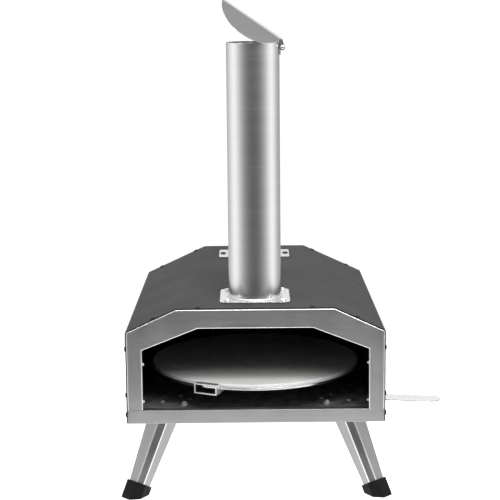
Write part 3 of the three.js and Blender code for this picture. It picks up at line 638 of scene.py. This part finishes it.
SHOULDER_SLOPE = 0.4627
SHOULDER_FALL = 0.0247
SHELL_SIDE_X = 191.8
SHELL_TOP_Z = 174.0
SHOULDER_EDGE_X = 190
SHOULDER_EDGE_Z = 138.1
SHOULDER_PROUD = 1.8
FRONT_ROW_Y, REAR_ROW_Y = 8, 508
shell_spots = []
for side in (-1, 1):
    shoulder = Vector((side * SHOULDER_SLOPE, SHOULDER_FALL, 1)).normalized()
    for depth in (FRONT_ROW_Y, REAR_ROW_Y):
        for height in (12, 42, 112):
            shell_spots.append((at(side * SHELL_SIDE_X, depth, height), (side, 0, 0)))
    for across, depth in ((150, FRONT_ROW_Y), (104, REAR_ROW_Y), (165, REAR_ROW_Y)):
        rise = (SHOULDER_EDGE_X - across) * SHOULDER_SLOPE - depth * SHOULDER_FALL
        edge = at(side * across, depth, SHOULDER_EDGE_Z + rise)
        spot = edge + shoulder * SHOULDER_PROUD * MM
        shell_spots.append((spot, shoulder))
    shell_spots.append((at(side * 84, FRONT_ROW_Y, SHELL_TOP_Z), UP))
    shell_spots.append((at(side * 30, REAR_ROW_Y, SHELL_TOP_Z), UP))
screws("shell_screws", "black_fastener", "oven_body", shell_spots, 3.9, 2.3)

bead = bmesh.new()
BEAD_RADIUS, BEAD_HALF = 1.2, 189
sideways = Matrix.Rotation(math.pi / 2, 4, "Y") @ Matrix.Scale(MM, 4)
bead_line = Matrix.Translation(at(0, BODY_DEPTH - 3, 2.2)) @ sideways
bead_profile = [(0, -BEAD_HALF), (BEAD_RADIUS, -BEAD_HALF), (BEAD_RADIUS, BEAD_HALF), (0, BEAD_HALF)]
turn(bead, fillet(bead_profile, 0.5), 12, bead_line)
piece("rear_floor_weld", bead, "oven_body", "black")

tails = bmesh.new()
for side in (-1, 1):
    for height in (32, 89):
        matrix = facing(at(side * 167.5, 7, height), (-side, 0, 0))
        hexagon(tails, matrix, 4.2, 1.6)
        turn(tails, fillet([(0, 0), (1.2, 0), (1.2, 2.6), (0, 2.6)], 0.4), 20, matrix)
piece("mouth_screw_tails", tails, "oven_body", "plated")

floor_spots = []
for side, end in CORNERS.values():
    for across, inwards in ((144.7, 108), (118.6, 140.9), (102.8, 120.5)):
        depth = inwards if end < 0 else BODY_DEPTH - inwards
        floor_spots.append((at(side * across, depth, 2.0), UP))
screws("floor_screws", "plated", "oven_body", floor_spots, 3.6, 1.9)

for corner in CORNERS:
    node = "bracket_nut_" + corner
    middle = centre_of(node)
    base = Vector((middle.x, middle.y, at(0, 0, 2.3).z))
    acorn = bmesh.new()
    matrix = Matrix.Translation(base) @ Matrix.Scale(MM, 4)
    hexagon(acorn, matrix, 9.6, 3.6)
    dome = [(0, 3.4), (4.2, 3.4)] + [
        (4.2 * math.cos(a * math.pi / 16), 3.6 + 4.2 * math.sin(a * math.pi / 16)) for a in range(1, 8)
    ] + [(0, 7.8)]
    turn(acorn, dome, 32, matrix)
    turn(acorn, [(0, -5.2), (2.5, -5.2), (2.5, -0.05), (0, -0.05)], 20, matrix)
    piece("acorn_nut_" + corner, acorn, "oven_body", "plated", [node])

for corner in CORNERS:
    node = "pivot_bolt_" + corner
    middle, direction, half = axis_of(node)
    bolt = bmesh.new()
    grip = half - 4
    turn(bolt, [(0, -grip), (2.9, -grip), (2.9, grip), (0, grip)], 28, facing(middle, direction))
    hexagon(bolt, facing(middle + direction * grip * MM, direction), 8.2, 3.6)
    hexagon(bolt, facing(middle - direction * grip * MM, -direction), 8.2, 3.6)
    piece("leg_bolt_" + corner, bolt, "oven_body", "fastener", [node])

for node, name, shank, head, tall in (
    ("cap_pin", "cap_rivet", 2.0, 3.2, 1.8),
    ("lid_hinge_pin", "lid_rivet", 1.6, 3.0, 2.0),
):
    middle, direction, half = axis_of(node)
    rivet = bmesh.new()
    grip = half - tall
    turn(rivet, [(0, -grip), (shank, -grip), (shank, grip), (0, grip)], 24, facing(middle, direction))
    for way in (-1, 1):
        dome = [(0, 0), (head, 0)] + [
            (head * math.cos(a * math.pi / 12), tall * math.sin(a * math.pi / 12)) for a in range(1, 6)
        ] + [(0, tall)]
        turn(rivet, dome, 24, facing(middle + direction * way * grip * MM, direction * way))
    piece(name, rivet, BODY_OF[node], "fastener", [node])

# ---------------------------------------------------------------- turntable

stone_low, stone_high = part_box("pizza_stone")
STONE_X = ((stone_low.x + stone_high.x) / 2 - ORIGIN.x) / MM
STONE_Y = ((stone_low.y + stone_high.y) / 2 - ORIGIN.y) / MM
STONE_BOTTOM, STONE_TOP = (stone_low.z - ORIGIN.z) / MM, (stone_high.z - ORIGIN.z) / MM
STONE_RADIUS = (stone_high.x - stone_low.x) / 2 / MM
stone = fillet(
    [(0, STONE_BOTTOM), (STONE_RADIUS, STONE_BOTTOM), (STONE_RADIUS, STONE_TOP), (0, STONE_TOP)],
    1.6, steps=5,
)
solid("pizza_stone", "baking_stone", "stone", stone, 192, STONE_X, STONE_Y)

tray_low, tray_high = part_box("turntable_tray")
TRAY_BOTTOM, TRAY_TOP = (tray_low.z - ORIGIN.z) / MM, (tray_high.z - ORIGIN.z) / MM
TRAY_RADIUS = (tray_high.x - tray_low.x) / 2 / MM
tray = fillet(
    [
        (0, TRAY_BOTTOM), (TRAY_RADIUS, TRAY_BOTTOM), (TRAY_RADIUS, TRAY_TOP),
        (TRAY_RADIUS - 1.2, TRAY_TOP), (TRAY_RADIUS - 1.2, TRAY_BOTTOM + 1.2), (0, TRAY_BOTTOM + 1.2),
    ],
    0.55,
)
solid("turntable_tray", "turntable_dish", "bright", tray, 192, STONE_X, STONE_Y)

turntable_axis = at(STONE_X, STONE_Y, 0)
loop_low, loop_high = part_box("tray_handle_loop")
loop_way = centre_of("tray_handle_loop") - turntable_axis
loop_way.z = 0
loop_way.normalize()
loop_side = Vector((-loop_way.y, loop_way.x, 0))
loop_spots = [vertex.co - turntable_axis for vertex in frame["nodes"]["tray_handle_loop"].data.vertices]
LOOP_FRONT = max(spot.dot(loop_way) for spot in loop_spots)
LOOP_HALF = max(abs(spot.dot(loop_side)) for spot in loop_spots)
LOOP_SKIN = 1.2 * MM


def painted_loop_shade(point):
    """True for the handle's tongue and the inner walls of its loop, which are painted black as shade."""
    spot = point - turntable_axis
    behind = spot.dot(loop_way) < LOOP_FRONT - 0.8 * MM
    between = abs(spot.dot(loop_side)) < LOOP_HALF - LOOP_SKIN
    level = loop_low.z + LOOP_SKIN < point.z < loop_high.z - LOOP_SKIN
    return behind and between and level


# The inside of the handle loop takes the chamber black as painted shade.
sheet("tray_handle_loop", "satin", fold=0.8, rim=0.4, outer=("black", painted_loop_shade))

lever_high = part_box("rotation_lever")[1]


# Painted shade: every face of the lever below its top takes the darker leg steel, while the top keeps the
# bright steel as a painted highlight.
def painted_lever_shade(point):
    return point.z < lever_high.z - 0.6 * MM


sheet("rotation_lever", "bright", rim=0.5, outer=("leg", painted_lever_shade))
sheet("turntable_shaft", "inner", fold=0.5)
sheet("shaft_bush", "inner", fold=0.4)
sheet("lever_nut", "fastener", fold=0.4)

# ---------------------------------------------------------------- hopper and fuel tray

sheet("hopper", "bright", fold=1.2)
sheet("hopper_lid", "paint", fold=1.2)
knob_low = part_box("lid_knob")[0]
KNOB_BASE = (knob_low.z - ORIGIN.z) / MM
knob_profile = [
    (0, 0), (6.4, 0), (5.2, 5.5), (6.6, 8.5), (11.6, 11.5), (12, 15.5), (10.4, 20.4), (5, 22), (0, 22),
]
knob = fillet([(r, KNOB_BASE + z) for r, z in knob_profile], 1.9, steps=5)
middle = centre_of("lid_knob") - ORIGIN
solid("lid_knob", "lid_grip", "plastic", knob, 64, middle.x / MM, middle.y / MM, smooth_angle=50)

sheet("fuel_tray", "sooted", fold=1.0, outer=("frame", behind_body))
sheet("fuel_grate", "inner", fold=0.9)

handle_low, handle_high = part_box("fuel_tray_handle")
HANDLE_Z = (handle_low.z + handle_high.z) / 2
ROD_INSET = 3.5 * MM
ROD_RADIUS = 3.4 * MM
ROD_BEND = 9
HANDLE_HALF = (handle_high.x - handle_low.x) / 2 - ROD_INSET
start_y, end_y = handle_low.y + 0.1 * MM, handle_high.y - ROD_INSET
path = [(-HANDLE_HALF, start_y), (-HANDLE_HALF, end_y), (HANDLE_HALF, end_y), (HANDLE_HALF, start_y)]
rounded = []
for x, y in fillet([(x / MM, y / MM) for x, y in path], ROD_BEND, steps=10):
    rounded.append((ORIGIN.x + x * MM, y * MM, HANDLE_Z))
curve = bpy.data.curves.new("fuel_tray_grip", "CURVE")
curve.dimensions = "3D"
curve.bevel_depth = ROD_RADIUS
curve.bevel_resolution = 6
curve.use_fill_caps = True
spline = curve.splines.new("POLY")
spline.points.add(len(rounded) - 1)
for point, spot in zip(spline.points, rounded):
    point.co = (*spot, 1)
spline.use_smooth = True
curve.materials.append(LOOKS["bright"].material)
grip = bpy.data.objects.new("fuel_tray_grip", curve)
bpy.context.scene.collection.objects.link(grip)
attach(grip, "fuel_tray")
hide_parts("fuel_tray_handle")

bosses = bmesh.new()
for way in (-1, 1):
    spot = Vector((ORIGIN.x + way * HANDLE_HALF, start_y, HANDLE_Z))
    boss = fillet([(0, 0), (6.2, 0), (6.2, 2.2), (0, 2.2)], 0.8)
    turn(bosses, boss, 32, facing(spot, (0, 1, 0)))
piece("fuel_tray_grip_bosses", bosses, "fuel_tray", "fastener")

# ---------------------------------------------------------------- legs

for corner in CORNERS:
    # Every fold of the leg takes the brighter edge steel as a painted highlight.
    sheet("leg_" + corner, "leg", fold=1.3, rim=0.35, polished=anywhere)
    sheet("bracket_" + corner, "inner", fold=0.6)
    sheet("foot_" + corner, "rubber", fold=0.9, rim=0.5)

# ---------------------------------------------------------------- studio

floor = bmesh.new()
FLOOR_RADIUS = 0.8
FLOOR_DROP = Matrix.Translation((0, 0, -0.0004))
bmesh.ops.create_circle(floor, cap_ends=True, segments=128, radius=FLOOR_RADIUS, matrix=FLOOR_DROP)
floor_mesh = bpy.data.meshes.new("studio_floor")
floor.to_mesh(floor_mesh)
floor.free()
floor_object = bpy.data.objects.new("studio_floor", floor_mesh)
bpy.context.scene.collection.objects.link(floor_object)
pale = bpy.data.materials.new("pale_floor")
pale.use_nodes = True
pale_inputs = pale.node_tree.nodes["Principled BSDF"].inputs
pale_inputs["Base Color"].default_value = (0.9, 0.9, 0.9, 1)
pale_inputs["Roughness"].default_value = 0.9
pale_inputs["Specular IOR Level"].default_value = 0.0
pale_inputs["Emission Color"].default_value = (1, 1, 1, 1)
pale_inputs["Emission Strength"].default_value = 0.9
floor_mesh.materials.append(pale)

# Brightness round the horizon: the share of a turn from behind the object, and the level there
HORIZON = [
    (0.00, 0.50), (0.12, 0.62), (0.17, 0.92), (0.22, 1.22), (0.26, 1.28), (0.30, 0.95),
    (0.34, 0.60), (0.39, 0.30), (0.44, 0.15), (0.50, 0.09), (0.555, 0.14), (0.60, 0.28),
    (0.65, 0.58), (0.69, 0.98), (0.73, 1.32), (0.77, 1.15), (0.82, 0.62), (0.88, 0.42),
    (1.00, 0.50),
]
HORIZON_SCALE = 1.5


def studio_world():
    world = bpy.data.worlds.new("studio")
    world.use_nodes = True
    tree = world.node_tree
    nodes, links = tree.nodes, tree.links
    nodes.clear()

    def calc(operation, first, second=0.0, clamp=False):
        made = nodes.new("ShaderNodeMath")
        made.operation, made.use_clamp = operation, clamp
        for socket, value in zip(made.inputs, (first, second)):
            if isinstance(value, bpy.types.NodeSocket):
                links.new(value, socket)
            else:
                socket.default_value = value
        return made.outputs[0]

    def smooth(value, start, end, low, high):
        made = nodes.new("ShaderNodeMapRange")
        made.interpolation_type = "SMOOTHSTEP"
        links.new(value, made.inputs["Value"])
        for key, number in (("From Min", start), ("From Max", end), ("To Min", low), ("To Max", high)):
            made.inputs[key].default_value = number
        return made.outputs["Result"]

    way = nodes.new("ShaderNodeTexCoord").outputs["Generated"]
    split = nodes.new("ShaderNodeSeparateXYZ")
    links.new(way, split.inputs[0])
    x, y, z = split.outputs
    turn_share = calc("MULTIPLY_ADD", calc("ARCTAN2", x, calc("MULTIPLY", y, -1.0)), 1 / (2 * math.pi))
    turn_share.node.inputs[2].default_value = 0.5
    ramp = nodes.new("ShaderNodeValToRGB")
    ramp.color_ramp.interpolation = "B_SPLINE"
    stops = ramp.color_ramp.elements
    while len(stops) < len(HORIZON):
        stops.new(0.5)
    for stop, (share, level) in zip(stops, HORIZON):
        stop.position = share
    for stop, (share, level) in zip(stops, HORIZON):
        stop.color = (level / HORIZON_SCALE,) * 3 + (1,)
    links.new(turn_share, ramp.inputs["Fac"])
    side = calc("MULTIPLY", ramp.outputs["Color"], HORIZON_SCALE)
    rise = calc("ADD", smooth(z, 0.04, 0.16, 0, 0.42), smooth(z, 0.28, 0.4, 0, 0.6))
    behind = calc("MULTIPLY", smooth(y, 0.3, 0.95, 0, 1), rise)
    low_back = calc("MULTIPLY", smooth(z, -0.06, 0.02, 0, 0.9), smooth(z, 0.1, 0.17, 1, 0))
    dim = calc("SUBTRACT", 1.0, calc("MULTIPLY", low_back, smooth(y, 0.7, 0.95, 0, 1)))
    band = calc("ADD", calc("MULTIPLY", side, dim), behind)
    top = smooth(z, 0.3, 0.7, 0, 1)
    level = calc("ADD", calc("MULTIPLY", band, calc("SUBTRACT", 1.0, top)), calc("MULTIPLY", top, 0.33))
    lit = nodes.new("ShaderNodeBackground")
    lit.inputs["Color"].default_value = (1, 1, 1, 1)
    links.new(level, lit.inputs["Strength"])
    seen = nodes.new("ShaderNodeBackground")
    seen.inputs["Color"].default_value = (1, 1, 1, 1)
    seen.inputs["Strength"].default_value = 1.05
    mix = nodes.new("ShaderNodeMixShader")
    links.new(nodes.new("ShaderNodeLightPath").outputs["Is Camera Ray"], mix.inputs["Fac"])
    links.new(lit.outputs[0], mix.inputs[1])
    links.new(seen.outputs[0], mix.inputs[2])
    links.new(mix.outputs[0], nodes.new("ShaderNodeOutputWorld").inputs["Surface"])
    bpy.context.scene.world = world


def soft_box(name, spot, target, width, height, power, glossy=True, diffuse=True):
    light = bpy.data.lights.new(name, "AREA")
    light.shape = "RECTANGLE"
    light.size, light.size_y, light.energy = width, height, power
    made = bpy.data.objects.new(name, light)
    bpy.context.scene.collection.objects.link(made)
    made.location = spot
    made.visible_glossy = glossy
    made.visible_diffuse = diffuse
    made.rotation_euler = (Vector(target) - Vector(spot)).to_track_quat("-Z", "Y").to_euler()


studio_world()
soft_box("key_softbox", at(420, -1000, 1750), at(0, 60, 60), 1.1, 0.5, 27)
soft_box("front_softbox", at(300, -1350, 1400), at(0, 60, 40), 1.2, 0.4, 8)
soft_box("top_softbox", at(200, 500, 1900), at(0, 250, 100), 1.4, 1.0, 9, glossy=False)
for side in (-1, 1):
    spot, target = at(side * 950, -250, 1750), at(side * 150, 0, 150)
    soft_box("side_softbox", spot, target, 0.6, 0.6, 8, diffuse=False)
bpy.context.scene.view_settings.view_transform = "Standard"
